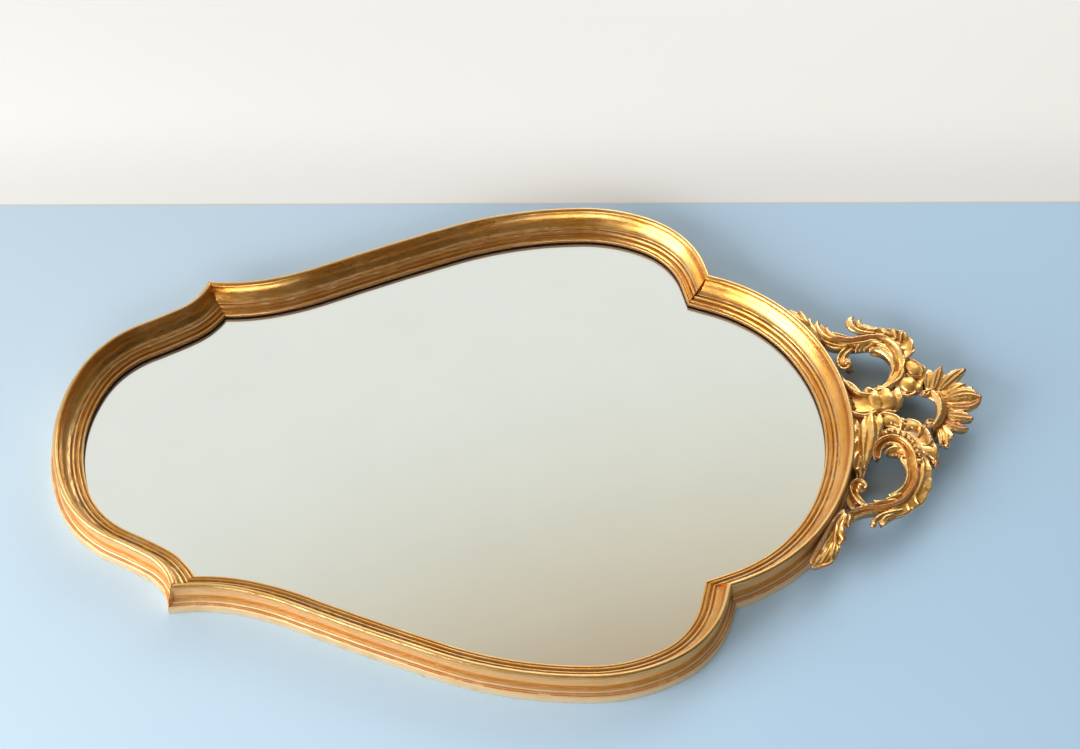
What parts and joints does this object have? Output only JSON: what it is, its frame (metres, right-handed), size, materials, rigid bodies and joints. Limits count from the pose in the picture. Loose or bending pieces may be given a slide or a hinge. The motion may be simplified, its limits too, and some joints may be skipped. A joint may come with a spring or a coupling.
{
  "type": "scalloped wall mirror",
  "caption": "Long scalloped wall mirror in a gilded moulded wood frame with a pierced carved crest, lying on its back, with swinging hanging rings behind.",
  "frame": {"origin": "middle of the box of the whole mirror, on the plane of the frame's flat back", "axes": "+X along the mirror towards the tip of the crest, which is up when the mirror hangs; +Y across it; +Z out of the glass, towards the person who looks into it"},
  "size_m": [0.9514, 0.6026, 0.0382],
  "materials": {
    "gilded_moulding": "gilded over red clay, rubbed and aged",
    "gilded_carving": "gilded over red clay, rubbed, pale dust in the hollows",
    "silvered_glass": "polished",
    "plywood": "bare, aged",
    "bare_wood": "bare",
    "steel": "zinc plated"
  },
  "bodies": {
    "frame": {"bottom_rail": "gilded_moulding", "left_side_rail": "gilded_moulding", "right_side_rail": "gilded_moulding", "top_rail": "gilded_moulding", "crest_core": "gilded_carving", "crest_left_scroll": "gilded_carving", "crest_right_scroll": "gilded_carving", "crest_fan": "gilded_carving", "crest_left_leaf": "gilded_carving", "crest_right_leaf": "gilded_carving", "mirror_glass": "silvered_glass", "back_board": "plywood", "board_brads": "steel", "mitre_splines": "bare_wood", "crest_dowels": "bare_wood", "crest_straps": "steel", "crest_screws": "steel", "left_hanger_strap": "steel", "right_hanger_strap": "steel", "hanger_screws": "steel"},
    "left_ring": {"left_hanger_ring": "steel"},
    "right_ring": {"right_hanger_ring": "steel"}
  },
  "joints": [
    {"name": "left_ring_swing", "type": "hinge", "parent": "frame", "child": "left_ring", "pos_m": [0.06909, 0.2887, 0.0025], "axis": [0, 1, 0], "range_deg": [0, 170]},
    {"name": "right_ring_swing", "type": "hinge", "parent": "frame", "child": "right_ring", "pos_m": [0.06909, -0.2887, 0.0025], "axis": [0, 1, 0], "range_deg": [0, 170]}
  ]
}
